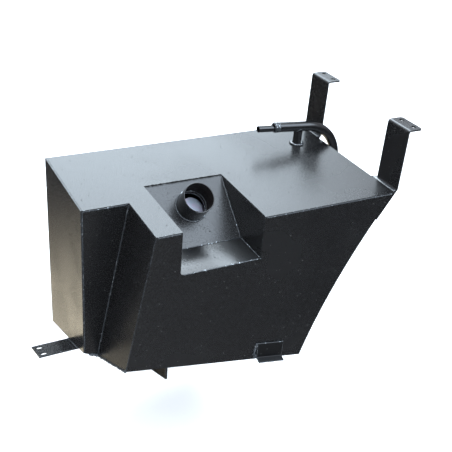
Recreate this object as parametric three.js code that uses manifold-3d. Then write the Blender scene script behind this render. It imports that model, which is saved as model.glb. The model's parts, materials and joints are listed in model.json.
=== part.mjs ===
// Welded steel side tank for hydraulic fluid: a sheet-metal box with a sloped end, a stepped front,
// a recessed filler neck, a tee-piece breather, two hanger straps and three mounting brackets.
// Millimetres, +Z up, +X along the tank's length, +Y from the front to the back.
// The origin is the middle of the front hanger's flange, on its upper face.

import * as THREE from "three";
import { mergeVertices } from "three/addons/utils/BufferGeometryUtils.js";
import Module from "manifold-3d";

const wasm = await Module();
wasm.setup();

// ---------------------------------------------------------------- driving dimensions

const SHEET = 2.5; // wall thickness of the tank
const GAP = 0.3; // clearance between neighbouring pieces
const FAR = 1500; // size of a cutting block
const PAST = 20; // how far a drill or a cutter reaches past the face it enters

// Tank body. Its own zero is the top corner where the left end meets the front of the narrow section.
const LENGTH = 560; // along the top plate
const BACK = 213.5; // y of the back plate
const FRONT = -120.2; // y of the front plate
const STEP_X = 85.4; // top of the step between the narrow section and the wide one
const STEP_LEAN = 0.184; // the step's side plate leans outwards by this much per mm of depth
const END_FOOT = { x: 401, z: -335 }; // where the right end meets the front plate's lower edge
const END_HOLLOW = 14.8; // depth of the right end's gentle hollow
const MAIN_FLOOR = { z: -309.8, x: -0.2, y: -0.458 }; // z = z0 + x * slope + y * slope
const LEFT_FLOOR = { z: -302, x: -0.48, y: -0.363 };

// Filler recess in the front upper corner.
const RECESS = { left: 131.9, right: 285.8, back: 49.4, fold: -44.6, depth: 84.6, corner: 7 };

// Filler neck, square to the sloping panel.
const NECK = { y: 11.2, radius: 28.5, wall: 1.7, length: 45, holeRadius: 25.6, bead: 3.4 };
const SPLASH = { x: 8.6, radius: 22.8, thickness: 2, drop: 20, armWidth: 16, armReach: 31 };

// Breather: an upright stub, a cross pipe that falls slightly to the right, and a reduced spigot.
const STUB = { x: 499, y: 127, radius: 9, bore: 7.2, collar: 5 };
const PIPE = { height: 37.7, fall: 0.0787, radius: 10, bore: 8.2, teeHole: 6.2 };
const PIPE_BEND = { radius: 84, dropX: 598, endZ: -80 };
const REDUCER = { start: -96, shoulder: -60, end: -53, radius: 6.5, bore: 5, below: 2 };
const JOINT_BEAD = { from: -52, to: -47, proud: 1.3 };

// Hangers: a folded strap each, on a thick pad that is welded to the right end.
const STRAP = { thickness: 3, width: 60, top: 119.5, innerFace: 568.4, flangeEnd: 600, radius: 5 };
const STRAP_FOOT = { bend: 2, end: -56 };
const STRAP_HOLES = { x: 589, apart: 34, radius: 4.5 };
const HANGER_Y = { front: -85.4, rear: 173.5 };
const PAD = { end: -50, nearMargin: 1, farReach: 7 };

// Brackets.
const SIDE_BRACKET = { y: 70, width: 64, reach: 73, foot: 58, thickness: 3, drop: 3.5, radius: 5 };
const SIDE_BRACKET_HOLES = { x: -61, apart: 36, radius: 6.5 };
const TAB = { x: 328, width: 57, height: 34, fold: -315.4, lip: [-12.5, -4.2], thickness: 3, radius: 4 };
const RAIL = { x: 112.8, length: 90, web: 23.5, flange: 26, setBack: 16, thickness: 4 };
const RAIL_HOLE = { along: 0.7, down: 0.6, radius: 4.5 }; // shares of the rail's length and of its web

// Inside the tank, and on the faces that are out of sight.
const BAFFLES = { left_baffle: 110, right_baffle: 300 };
const BAFFLE = { thickness: 2, clearance: 0.6, corner: 30 };
const FLOW_HOLES = { y: [60, 150], radius: 22, upperZ: -70, aboveFloor: 90 };
const PICKUP = { x: 345, y: 150, z: -60, foot: -395, radius: 6, bore: 4.6, bend: 25 };
const STRAINER = { radius: 12, bore: 9.5, length: 34, cap: 6 };
const UNION = { radius: 8, bore: 4.6, length: 32, flangeRadius: 15, flange: 6 };
const HOSE_BEAD = { proud: 1.2, from: 7, to: 3 }; // measured back from the union's mouth
const RETURN_X = 425;
const DRAIN = { x: 345, y: 183, boss: 17, bossHeight: 9, bore: 9.3, shank: 9, hole: 9.6 };
const PLUG = { washer: 13.5, washerHeight: 1.5, across: 24, head: 8, reach: 2 };

// ---------------------------------------------------------------- finishes

const finish = (color, metalness, roughness) =>
  new THREE.MeshStandardMaterial({ color, metalness, roughness });
const blackPaint = finish(0x141517, 0.0, 0.3);
const bareSteel = finish(0x8f9194, 1.0, 0.45);
const zincPlate = finish(0xc4cad6, 1.0, 0.3);
const brass = finish(0xb08d45, 1.0, 0.35);
const copper = finish(0xb56a3c, 1.0, 0.35);

// ---------------------------------------------------------------- solids and cuts

const X = new THREE.Vector3(1, 0, 0);
const Y = new THREE.Vector3(0, 1, 0);
const Z = new THREE.Vector3(0, 0, 1);

/** A closed three.js geometry as a solid that can be cut and joined. */
function solid(geometry) {
  geometry.deleteAttribute("normal");
  geometry.deleteAttribute("uv");
  const merged = mergeVertices(geometry);
  const vertProperties = new Float32Array(merged.attributes.position.array);
  const triVerts = new Uint32Array(merged.index.array);
  return new wasm.Manifold(new wasm.Mesh({ numProp: 3, vertProperties, triVerts }));
}

/** A solid back as a named mesh, without the slivers that cuts through flush faces can leave. */
function piece(name, shape, material) {
  const [body] = shape.decompose().sort((a, b) => b.volume() - a.volume());
  const { vertProperties, triVerts } = body.getMesh();
  const geometry = new THREE.BufferGeometry();
  geometry.setAttribute("position", new THREE.BufferAttribute(vertProperties, 3));
  geometry.setIndex(new THREE.BufferAttribute(triVerts, 1));
  const mesh = new THREE.Mesh(geometry, material);
  mesh.name = name;
  return mesh;
}

/** A block between two corners. */
function block(low, high) {
  const size = high.map((value, i) => value - low[i]);
  const geometry = new THREE.BoxGeometry(...size);
  geometry.translate(...low.map((value, i) => value + size[i] / 2));
  return solid(geometry);
}

/** The main floor's height under a point. */
const floorAt = (x, y) => MAIN_FLOOR.z + MAIN_FLOOR.x * x + MAIN_FLOOR.y * y;

/** Everything on the side of a plane that its normal points to. */
function halfSpace(point, normal) {
  const geometry = new THREE.BoxGeometry(FAR, FAR, FAR);
  geometry.translate(0, 0, FAR / 2);
  const direction = new THREE.Vector3(...normal).normalize();
  geometry.applyQuaternion(new THREE.Quaternion().setFromUnitVectors(Z, direction));
  geometry.translate(...point);
  return solid(geometry);
}

/** An outline in X and Z, extruded along Y. */
function prismXZ(points, fromY, toY) {
  const shape = new THREE.Shape(points.map(([x, z]) => new THREE.Vector2(x, z)));
  const geometry = new THREE.ExtrudeGeometry(shape, { depth: toY - fromY, bevelEnabled: false });
  geometry.applyMatrix4(new THREE.Matrix4().makeBasis(X, Z, Y.clone().negate()));
  geometry.translate(0, toY, 0);
  return solid(geometry);
}

/** An outline in Y and Z, extruded along X. */
function prismYZ(points, fromX, toX) {
  const shape = new THREE.Shape(points.map(([y, z]) => new THREE.Vector2(y, z)));
  const geometry = new THREE.ExtrudeGeometry(shape, { depth: toX - fromX, bevelEnabled: false });
  geometry.applyMatrix4(new THREE.Matrix4().makeBasis(Y, Z, X));
  geometry.translate(fromX, 0, 0);
  return solid(geometry);
}

/** A round bar along an axis, from one station on it to another. */
function bar(radius, from, to, axis = Z, sides = 32) {
  const geometry = new THREE.CylinderGeometry(radius, radius, to - from, sides);
  geometry.translate(0, (from + to) / 2, 0);
  geometry.applyQuaternion(new THREE.Quaternion().setFromUnitVectors(Y, axis));
  return solid(geometry);
}

/** A ring about Z whose outer face is a quarter round, as a fillet weld is. */
function filletRing(innerRadius, size, sides = 40) {
  const profile = [new THREE.Vector2(innerRadius, GAP)];
  for (let i = 0; i <= 5; i += 1) {
    const angle = (i / 5) * (Math.PI / 2);
    profile.push(new THREE.Vector2(innerRadius + size * Math.cos(angle), GAP + size * Math.sin(angle)));
  }
  profile.push(profile[0].clone());
  const geometry = new THREE.LatheGeometry(profile, sides);
  geometry.applyMatrix4(new THREE.Matrix4().makeBasis(X, Z, Y.clone().negate()));
  return solid(geometry);
}

/** The outline of a folded strip, from the corners of its middle line and the radius of its folds. */
function foldedStrip(corners, thickness, radius) {
  const path = [];
  corners.forEach(([u, v], i) => {
    const here = new THREE.Vector2(u, v);
    if (i === 0 || i === corners.length - 1) {
      path.push(here);
      return;
    }
    const before = new THREE.Vector2(...corners[i - 1]).sub(here).normalize();
    const after = new THREE.Vector2(...corners[i + 1]).sub(here).normalize();
    const turn = Math.PI - Math.acos(before.dot(after));
    const back = radius * Math.tan(turn / 2);
    for (let k = 0; k <= 6; k += 1) {
      const t = k / 6;
      const a = here.clone().addScaledVector(before, back * (1 - t) ** 2);
      path.push(a.addScaledVector(after, back * t ** 2));
    }
  });
  const side = (sign) =>
    path.map((point, i) => {
      const next = path[Math.min(i + 1, path.length - 1)];
      const last = path[Math.max(i - 1, 0)];
      const along = next.clone().sub(last).normalize();
      return [point.x - (sign * along.y * thickness) / 2, point.y + (sign * along.x * thickness) / 2];
    });
  return [...side(1), ...side(-1).reverse()];
}

// ---------------------------------------------------------------- the tank's envelope

/** The right end's line at depth fraction t, moved into the tank by an inset. */
function endLine(t, inset) {
  const run = LENGTH - END_FOOT.x;
  const x = LENGTH - run * t - 4 * END_HOLLOW * t * (1 - t);
  const alongX = -run - 4 * END_HOLLOW * (1 - 2 * t);
  const length = Math.hypot(alongX, END_FOOT.z);
  return [x + (inset * END_FOOT.z) / length, END_FOOT.z * t - (inset * alongX) / length];
}

/** The inside of one wall's plane, moved into the tank by an inset. */
const inside = {
  left: (inset) => halfSpace([inset, 0, 0], [1, 0, 0]),
  top: (inset) => halfSpace([0, 0, -inset], [0, 0, -1]),
  back: (inset) => halfSpace([0, BACK - inset, 0], [0, -1, 0]),
  front: (inset) => halfSpace([0, FRONT + inset, 0], [0, 1, 0]),
  step(inset) {
    const lean = Math.hypot(1, STEP_LEAN);
    const side = halfSpace([STEP_X + inset * lean, 0, 0], [1, 0, -STEP_LEAN]);
    return halfSpace([0, inset, 0], [0, 1, 0]).add(side);
  },
  right(inset) {
    const line = [];
    for (let i = -1; i <= 16; i += 1) line.push(endLine(i / 10, inset));
    const deep = line[line.length - 1][1];
    return prismXZ([...line, [-FAR / 3, deep], [-FAR / 3, line[0][1]]], -FAR / 4, FAR / 4);
  },
  floor(inset) {
    return [MAIN_FLOOR, LEFT_FLOOR]
      .map((plane) => {
        const rise = inset * Math.hypot(plane.x, plane.y, 1);
        return halfSpace([0, 0, plane.z + rise], [-plane.x, -plane.y, 1]);
      })
      .reduce((a, b) => a.intersect(b));
  },
};

/** The whole body, moved in from all its walls by an inset. */
const envelope = (inset) =>
  Object.values(inside)
    .map((wall) => wall(inset))
    .reduce((a, b) => a.intersect(b));

const outer = envelope(0);
const skin = (wall, depth) => outer.subtract(inside[wall](depth));

/** One wall's sheet, cut back from the walls that overlap its edges. */
function wallSheet(wall, coveredBy) {
  return coveredBy
    .map((other) => inside[other](SHEET + GAP))
    .reduce((shape, limit) => shape.intersect(limit), skin(wall, SHEET));
}

// ---------------------------------------------------------------- filler recess

const panelFall = RECESS.depth / (RECESS.back - RECESS.fold);
const panelTilt = Math.atan(panelFall);
const neckAxis = new THREE.Vector3(0, -Math.sin(panelTilt), Math.cos(panelTilt));
const neckBase = [(RECESS.left + RECESS.right) / 2, NECK.y, -(RECESS.back - NECK.y) * panelFall];

const recessSpace = prismYZ(
  [
    [RECESS.back + PAST, PAST * panelFall],
    [RECESS.fold, -RECESS.depth],
    [FRONT - PAST, -RECESS.depth],
    [FRONT - PAST, PAST * panelFall],
  ],
  RECESS.left,
  RECESS.right,
);

/** The front plate's cut-out, with its lower left corner rounded. */
function frontCutOut() {
  const { left, right, depth, corner } = RECESS;
  const round = [];
  for (let i = 0; i <= 6; i += 1) {
    const angle = Math.PI + (i / 6) * (Math.PI / 2);
    round.push([left + corner + corner * Math.cos(angle), -depth + corner + corner * Math.sin(angle)]);
  }
  const outline = [[left, PAST], ...round, [right, -depth], [right, PAST]];
  return prismXZ(outline, FRONT - PAST, FRONT + SHEET + GAP);
}

function recessCheek(name, fromX, toX) {
  const shape = prismYZ(
    [
      [RECESS.back, 0],
      [FRONT + SHEET + GAP, 0],
      [FRONT + SHEET + GAP, -RECESS.depth - SHEET],
      [RECESS.fold, -RECESS.depth - SHEET],
      [RECESS.back + SHEET, 0],
    ],
    fromX,
    toX,
  );
  return piece(name, shape.intersect(inside.top(SHEET + GAP)), blackPaint);
}

function recessPieces() {
  const { left, right, back, fold, depth } = RECESS;
  const under = SHEET / Math.cos(panelTilt);
  const neckHole = bar(NECK.holeRadius, -PAST, PAST, neckAxis, 48).translate(neckBase);
  const panel = prismYZ(
    [
      [back, 0],
      [fold, -depth],
      [fold, -depth - under],
      [back, -under],
    ],
    left + GAP,
    right - GAP,
  )
    .intersect(inside.top(SHEET + GAP))
    .subtract(neckHole);
  const shelf = block([left + GAP, FRONT + SHEET + GAP, -depth - SHEET], [right - GAP, fold - GAP, -depth]);
  return [
    piece("neck_panel", panel, blackPaint),
    piece("recess_shelf", shelf, blackPaint),
    recessCheek("recess_left_cheek", left - SHEET, left),
    recessCheek("recess_right_cheek", right, right + SHEET),
  ];
}

/** The neck tube, its weld and the splash plate on its arm under it, along their own Z. */
function neckPieces() {
  const group = new THREE.Group();
  group.position.set(...neckBase);
  group.rotation.x = panelTilt;
  const { radius, wall, length, bead } = NECK;
  const tube = bar(radius, GAP, length, Z, 48).subtract(bar(radius - wall, -PAST, length + PAST, Z, 48));
  const under = -SHEET - GAP;
  const { x, thickness, drop, armWidth, armReach } = SPLASH;
  const arm = (toY, top) =>
    block([x - armWidth / 2, -armReach, -drop - thickness], [x + armWidth / 2, toY, top]);
  const splash = bar(SPLASH.radius, -drop - thickness, -drop, Z, 40)
    .translate([x, 0, 0])
    .add(arm(0, -drop))
    .add(arm(thickness - armReach, under));
  group.add(
    piece("filler_neck", tube, blackPaint),
    piece("neck_weld_bead", filletRing(radius + GAP, bead), blackPaint),
    piece("splash_plate", splash, zincPlate),
  );
  return group;
}

// ---------------------------------------------------------------- breather

const pipeTurn = Math.atan(PIPE.fall);
const pipeHeightAt = (x) => PIPE.height - (x - STUB.x) * PIPE.fall;

/** The cross pipe's middle line: a falling run, one bend and a short drop. */
function pipeLine() {
  const cornerZ = pipeHeightAt(PIPE_BEND.dropX);
  const sweep = Math.PI / 2 - pipeTurn;
  const back = PIPE_BEND.radius * Math.tan(sweep / 2);
  const centre = [PIPE_BEND.dropX - PIPE_BEND.radius, cornerZ - back];
  const startX = STUB.x + (REDUCER.end + GAP) * Math.cos(pipeTurn);
  const points = [];
  const bendStartX = PIPE_BEND.dropX - back * Math.cos(pipeTurn);
  for (let i = 0; i < 4; i += 1) {
    const x = startX + ((bendStartX - startX) * i) / 4;
    points.push(new THREE.Vector3(x, STUB.y, pipeHeightAt(x)));
  }
  for (let i = 0; i <= 9; i += 1) {
    const angle = sweep * (1 - i / 9);
    const x = centre[0] + PIPE_BEND.radius * Math.cos(angle);
    points.push(new THREE.Vector3(x, STUB.y, centre[1] + PIPE_BEND.radius * Math.sin(angle)));
  }
  points.push(new THREE.Vector3(PIPE_BEND.dropX, STUB.y, PIPE_BEND.endZ));
  return new THREE.CatmullRomCurve3(points, false, "centripetal");
}

function tubeAlong(curve, radius, bore, sides, steps) {
  const section = new THREE.Shape();
  section.absarc(0, 0, radius, 0, Math.PI * 2);
  const hole = new THREE.Path();
  hole.absarc(0, 0, bore, 0, Math.PI * 2);
  section.holes.push(hole);
  const options = { steps, extrudePath: curve, curveSegments: sides, bevelEnabled: false };
  return solid(new THREE.ExtrudeGeometry(section, options));
}

function breatherPieces() {
  const run = new THREE.Group();
  run.position.set(STUB.x, STUB.y, PIPE.height);
  run.rotation.y = pipeTurn;
  const { start, shoulder, end, radius, bore, below } = REDUCER;
  const spigot = bar(radius, start, shoulder + 2, X, 24).translate([0, 0, -below]);
  const sleeve = bar(PIPE.radius, shoulder, end, X, 24);
  const spigotBore = bar(bore, start - PAST, end + PAST, X, 24).translate([0, 0, -below]);
  const bead = bar(PIPE.radius + JOINT_BEAD.proud, JOINT_BEAD.from, JOINT_BEAD.to, X, 24);
  const beadBore = bar(PIPE.radius + GAP, JOINT_BEAD.from - PAST, JOINT_BEAD.to + PAST, X, 24);
  run.add(
    piece("breather_reducer", spigot.add(sleeve).subtract(spigotBore), blackPaint),
    piece("breather_joint_bead", bead.subtract(beadBore), blackPaint),
  );

  const pipeAxis = new THREE.Vector3(Math.cos(pipeTurn), 0, -Math.sin(pipeTurn));
  const foot = [STUB.x, STUB.y, 0];
  const saddle = bar(PIPE.radius + GAP, -PAST, PAST, pipeAxis).translate([STUB.x, STUB.y, PIPE.height]);
  const stub = bar(STUB.radius, GAP, PIPE.height)
    .subtract(bar(STUB.bore, -PAST, PIPE.height + PAST))
    .translate(foot)
    .subtract(saddle);
  const teeHole = bar(PIPE.teeHole, PIPE.height - PAST, PIPE.height).translate(foot);
  const pipe = tubeAlong(pipeLine(), PIPE.radius, PIPE.bore, 8, 26).subtract(teeHole);
  const collar = filletRing(STUB.radius + GAP, STUB.collar, 28).translate(foot);
  return [
    run,
    piece("breather_stub", stub, blackPaint),
    piece("breather_weld_collar", collar, blackPaint),
    piece("breather_pipe", pipe, blackPaint),
  ];
}

// ---------------------------------------------------------------- hangers

function hangerPieces(place, y) {
  const half = STRAP.thickness / 2;
  const upright = STRAP.innerFace + half;
  const [midX, midZ] = endLine(PAD.end / END_FOOT.z, 0);
  const lean = (LENGTH - midX) / -midZ;
  const foot = [upright - (STRAP_FOOT.bend - STRAP_FOOT.end) * lean, STRAP_FOOT.end];
  const corners = [
    [STRAP.flangeEnd, STRAP.top - half],
    [upright, STRAP.top - half],
    [upright, STRAP_FOOT.bend],
    foot,
  ];
  const outline = foldedStrip(corners, STRAP.thickness, STRAP.radius);
  let strap = prismXZ(outline, y - STRAP.width / 2, y + STRAP.width / 2);
  for (const side of [-0.5, 0.5]) {
    const hole = bar(STRAP_HOLES.radius, STRAP.top - PAST, STRAP.top + PAST, Z, 24);
    strap = strap.subtract(hole.translate([STRAP_HOLES.x, y + side * STRAP_HOLES.apart, 0]));
  }
  const backOff = half / Math.cos(Math.atan(lean)) + GAP;
  const pad = prismXZ(
    [
      [upright - (STRAP_FOOT.bend - PAD.end) * lean - backOff, PAD.end],
      [upright - STRAP_FOOT.bend * lean - backOff, 0],
      [LENGTH - PAST, 0],
      [midX - PAST, PAD.end],
    ],
    y - STRAP.width / 2 + PAD.nearMargin,
    y + STRAP.width / 2 + PAD.farReach,
  ).subtract(inside.right(-GAP));
  return [
    piece(`${place}_hanger_strap`, strap, blackPaint),
    piece(`${place}_hanger_pad`, pad, blackPaint),
  ];
}

// ---------------------------------------------------------------- brackets

/** The strip that runs out to the left from under the floor, square to the end plate's lower edge. */
function sideBracket() {
  const { y, width, reach, foot, thickness, drop, radius } = SIDE_BRACKET;
  const edgeTurn = Math.atan(LEFT_FLOOR.y);
  const fall = LEFT_FLOOR.x * Math.cos(edgeTurn);
  const under = (thickness / 2 + GAP) * Math.hypot(1, fall);
  const corners = [
    [-reach, -drop],
    [(drop - under) / -fall, -drop],
    [foot, foot * fall - under],
  ];
  let strip = prismXZ(foldedStrip(corners, thickness, radius), -width / 2, width / 2);
  for (const side of [-0.5, 0.5]) {
    const hole = bar(SIDE_BRACKET_HOLES.radius, -PAST, PAST, Z, 24);
    strip = strip.subtract(hole.translate([SIDE_BRACKET_HOLES.x, side * SIDE_BRACKET_HOLES.apart, 0]));
  }
  const mesh = piece("left_mount_bracket", strip, blackPaint);
  mesh.position.set(0, y, LEFT_FLOOR.z + LEFT_FLOOR.y * y);
  mesh.rotation.x = edgeTurn;
  return mesh;
}

/** The tab on the front plate: upright sides, edges that slope with the floor, and a lip turned outwards. */
function frontTab() {
  const { x, width, height, fold, lip, thickness, radius } = TAB;
  const face = -GAP - thickness / 2;
  const corners = [
    [face, height],
    [face, 0],
    [face + lip[0], lip[1]],
  ];
  const strip = prismYZ(foldedStrip(corners, thickness, radius), -width / 2, width / 2);
  const mesh = piece("front_tab_bracket", strip, blackPaint);
  const slope = new THREE.Matrix4().set(1, 0, 0, 0, 0, 1, 0, 0, MAIN_FLOOR.x, 0, 1, 0, 0, 0, 0, 1);
  mesh.geometry.applyMatrix4(slope);
  mesh.position.set(x, FRONT, fold);
  return mesh;
}

/** The angle rail under the floor: a web that hangs down and a flange that is welded on. */
function floorRail() {
  const { x, length, web, flange, setBack, thickness } = RAIL;
  const back = FRONT + length;
  const under = (depth) => inside.floor(-depth).subtract(inside.floor(-GAP));
  const zone = (fromY, toX) => block([x, fromY, -FAR], [toX, back, 0]);
  const holeY = FRONT + length * RAIL_HOLE.along;
  const holeZ = floorAt(x, holeY) - web * RAIL_HOLE.down;
  const hole = bar(RAIL_HOLE.radius, x - PAST, x + PAST, X, 24).translate([0, holeY, holeZ]);
  const shape = under(web)
    .intersect(zone(FRONT, x + thickness))
    .add(under(thickness).intersect(zone(FRONT + setBack, x + flange)))
    .subtract(hole);
  return piece("floor_rail_bracket", shape, blackPaint);
}

// ---------------------------------------------------------------- pieces inside the tank

/** A cross wall with flow holes and cut corners. */
function baffle(name, x) {
  const { thickness, clearance, corner } = BAFFLE;
  let shape = envelope(SHEET + clearance).intersect(block([x, -FAR, -FAR], [x + thickness, FAR, 0]));
  const drill = bar(FLOW_HOLES.radius, x - PAST, x + PAST, X, 24);
  for (const y of FLOW_HOLES.y) {
    for (const z of [FLOW_HOLES.upperZ, floorAt(x, y) + FLOW_HOLES.aboveFloor]) {
      shape = shape.subtract(drill.translate([0, y, z]));
    }
  }
  const notchTop = floorAt(x, BACK) + corner;
  const notch = block([x - PAST, BACK - corner, notchTop - 4 * corner], [x + PAST, BACK, notchTop]);
  return piece(name, shape.subtract(notch), bareSteel);
}

function pickupPieces() {
  const { x, y, z, foot, radius, bore, bend } = PICKUP;
  const wallFace = BACK - SHEET - GAP;
  const points = [new THREE.Vector3(x, wallFace, z), new THREE.Vector3(x, (wallFace + y + bend) / 2, z)];
  for (let i = 0; i <= 6; i += 1) {
    const angle = (i / 6) * (Math.PI / 2);
    points.push(new THREE.Vector3(x, y + bend - bend * Math.sin(angle), z - bend + bend * Math.cos(angle)));
  }
  points.push(new THREE.Vector3(x, y, (z + foot) / 2), new THREE.Vector3(x, y, foot));
  const tube = tubeAlong(new THREE.CatmullRomCurve3(points, false, "centripetal"), radius, bore, 6, 22);
  const sock = bar(STRAINER.radius, foot - GAP - STRAINER.length, foot - GAP, Z, 24)
    .subtract(bar(STRAINER.bore, foot - STRAINER.length - PAST, foot - STRAINER.cap, Z, 24))
    .subtract(bar(bore, foot - PAST, foot + PAST, Z, 24))
    .translate([x, y, 0]);
  return [piece("pickup_tube", tube, bareSteel), piece("pickup_strainer", sock, zincPlate)];
}

/** A welded union on the back plate, with a hose bead near its mouth. */
function hoseUnion(name, x) {
  const { radius, bore, length, flangeRadius, flange } = UNION;
  const out = BACK + GAP;
  const shape = bar(flangeRadius, out, out + flange, Y, 24)
    .add(bar(radius, out, out + length, Y, 24))
    .add(bar(radius + HOSE_BEAD.proud, out + length - HOSE_BEAD.from, out + length - HOSE_BEAD.to, Y, 24))
    .subtract(bar(bore, out - PAST, out + length + PAST, Y, 24))
    .translate([x, 0, PICKUP.z]);
  return piece(name, shape, brass);
}

const floorNormal = new THREE.Vector3(MAIN_FLOOR.x, MAIN_FLOOR.y, -1).normalize();
const drainSeat = [DRAIN.x, DRAIN.y, floorAt(DRAIN.x, DRAIN.y)];

/** Boss, washer and plug at the tank's low point, along the floor's own normal. */
function drainPieces() {
  const group = new THREE.Group();
  group.position.set(...drainSeat);
  group.quaternion.setFromUnitVectors(Z, floorNormal);
  const bossTop = GAP + DRAIN.bossHeight;
  const washerFrom = bossTop + GAP;
  const headFrom = washerFrom + PLUG.washerHeight + GAP;
  const threadBore = bar(DRAIN.bore, -PAST, headFrom + PAST);
  const boss = bar(DRAIN.boss, GAP, bossTop).subtract(threadBore);
  const washer = bar(PLUG.washer, washerFrom, washerFrom + PLUG.washerHeight).subtract(threadBore);
  const head = bar(PLUG.across / Math.sqrt(3), headFrom, headFrom + PLUG.head, Z, 6);
  const plug = head.add(bar(DRAIN.shank, -PLUG.reach, headFrom + PLUG.head / 2));
  group.add(
    piece("drain_boss", boss, blackPaint),
    piece("drain_washer", washer, copper),
    piece("drain_plug", plug, zincPlate),
  );
  return group;
}

// ---------------------------------------------------------------- the tank's walls

function wallPieces() {
  const stubHole = bar(STUB.bore, -PAST, PAST).translate([STUB.x, STUB.y, 0]);
  const drainHole = bar(DRAIN.hole, -PAST, PAST, floorNormal).translate(drainSeat);
  const unionHole = (x) => bar(UNION.bore, BACK - PAST, BACK + PAST, Y, 24).translate([x, 0, PICKUP.z]);
  const unionHoles = unionHole(PICKUP.x).add(unionHole(RETURN_X));
  const corner = wallSheet("step", ["left", "top"]);
  const shapes = {
    left_end_plate: wallSheet("left", []),
    top_plate: wallSheet("top", ["left"]).subtract(recessSpace).subtract(stubHole),
    back_plate: wallSheet("back", ["left", "top"]).subtract(unionHoles),
    left_front_plate: corner.intersect(halfSpace([0, -GAP, 0], [0, 1, 0])),
    front_plate: wallSheet("front", ["top"]).subtract(frontCutOut()),
    step_side_plate: corner
      .intersect(halfSpace([0, -2 * GAP, 0], [0, -1, 0]))
      .intersect(inside.front(SHEET + GAP)),
    right_end_plate: wallSheet("right", ["top", "back", "front"]),
    floor_plate: wallSheet("floor", ["left", "back", "step", "front", "right"]).subtract(drainHole),
  };
  return Object.entries(shapes).map(([name, shape]) => piece(name, shape, blackPaint));
}

// ---------------------------------------------------------------- assembly

const tank = new THREE.Group();
tank.position.set(-STRAP_HOLES.x, -HANGER_Y.front, -STRAP.top);
tank.add(
  ...wallPieces(),
  ...recessPieces(),
  neckPieces(),
  ...breatherPieces(),
  ...Object.entries(HANGER_Y).flatMap(([place, y]) => hangerPieces(place, y)),
  sideBracket(),
  frontTab(),
  floorRail(),
  ...Object.entries(BAFFLES).map(([name, x]) => baffle(name, x)),
  ...pickupPieces(),
  hoseUnion("outlet_union", PICKUP.x),
  hoseUnion("return_union", RETURN_X),
  drainPieces(),
);

const object = new THREE.Group();
object.add(tank);

export default object;
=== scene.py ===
"""Looks of the welded hydraulic side tank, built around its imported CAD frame.

Metres, +Z up. Places inside the tank are given in millimetres from the tank's own corner, where the left end
plate, the narrow front and the top plate meet, and are moved into the row frame by `at`.
"""

import json
import math
import random

import bmesh
import bpy
from mathutils import Matrix, Vector, noise


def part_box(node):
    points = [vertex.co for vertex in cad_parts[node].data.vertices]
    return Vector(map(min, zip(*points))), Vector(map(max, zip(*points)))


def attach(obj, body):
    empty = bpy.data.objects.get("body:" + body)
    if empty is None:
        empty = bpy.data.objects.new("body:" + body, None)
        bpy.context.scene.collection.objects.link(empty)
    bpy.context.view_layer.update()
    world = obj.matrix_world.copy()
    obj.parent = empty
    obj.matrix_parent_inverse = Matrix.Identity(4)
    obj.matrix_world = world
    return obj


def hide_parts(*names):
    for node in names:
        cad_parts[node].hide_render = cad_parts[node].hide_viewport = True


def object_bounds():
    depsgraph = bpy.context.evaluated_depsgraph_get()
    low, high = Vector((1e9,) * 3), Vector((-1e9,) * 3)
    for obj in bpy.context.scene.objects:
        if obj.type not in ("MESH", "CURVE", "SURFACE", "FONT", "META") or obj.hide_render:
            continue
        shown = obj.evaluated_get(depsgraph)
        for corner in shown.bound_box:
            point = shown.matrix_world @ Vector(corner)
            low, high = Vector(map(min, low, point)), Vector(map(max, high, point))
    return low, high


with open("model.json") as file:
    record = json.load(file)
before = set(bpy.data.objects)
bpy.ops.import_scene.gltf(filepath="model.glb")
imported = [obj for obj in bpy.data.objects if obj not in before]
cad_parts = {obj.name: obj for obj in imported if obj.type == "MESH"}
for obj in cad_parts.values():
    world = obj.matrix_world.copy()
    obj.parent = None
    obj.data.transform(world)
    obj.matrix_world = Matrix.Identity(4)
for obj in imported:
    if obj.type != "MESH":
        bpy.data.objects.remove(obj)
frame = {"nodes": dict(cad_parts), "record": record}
cad_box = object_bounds()

MM = 0.001
NODES = frame["nodes"]

# ------------------------------------------------------------------ places, from the frame

END_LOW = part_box("left_end_plate")[0]
CORNER = Vector((END_LOW.x, END_LOW.y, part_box("top_plate")[1].z))


def at(x, y, z):
    """A point given in millimetres from the tank's corner, in the row frame."""
    return CORNER + Vector((x, y, z)) * MM


def mm(point):
    """A point of the row frame, in millimetres from the tank's corner."""
    return (point - CORNER) / MM


FRONT = mm(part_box("front_plate")[0]).y
BACK = mm(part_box("back_plate")[1]).y
LENGTH = mm(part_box("top_plate")[1]).x
RECESS_LEFT = mm(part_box("recess_left_cheek")[1]).x
RECESS_RIGHT = mm(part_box("recess_right_cheek")[0]).x
RECESS_DEPTH = -mm(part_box("recess_shelf")[1]).z
RECESS_BACK = mm(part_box("neck_panel")[1]).y
RECESS_FOLD = mm(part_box("neck_panel")[0]).y

STEP_X = 85.4  # top of the step
STEP_LEAN = 0.184  # the step's side plate runs left by this much per mm of depth
STEP_ROUNDS = 12  # more than enough for step_foot to settle
MAIN_FLOOR = (-309.8, -0.2, -0.458)  # height at the corner, slope along X, slope along Y
LEFT_FLOOR = (-302.0, -0.48, -0.363)


def floor_z(x, y):
    """The floor's height under a point: the higher of its two planes."""
    return max(base + along * x + across * y for base, along, across in (MAIN_FLOOR, LEFT_FLOOR))


def step_foot(y):
    """Where the step's side plate meets the floor, at a given y."""
    x = STEP_X
    for _ in range(STEP_ROUNDS):
        x = STEP_X + STEP_LEAN * floor_z(x, y)
    return x, y, floor_z(x, y)


# ------------------------------------------------------------------ camera

CAMERA_PLACE = (-0.91742, -0.98108, 0.50936)
CAMERA_HEADING = 29.626  # degrees to the right of +Y
CAMERA_PITCH = -30.132
CAMERA_ROLL = -5.092
CAMERA_LENS = 60.674  # millimetres, as is the sensor's width
CAMERA_SENSOR = 36.0


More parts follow.
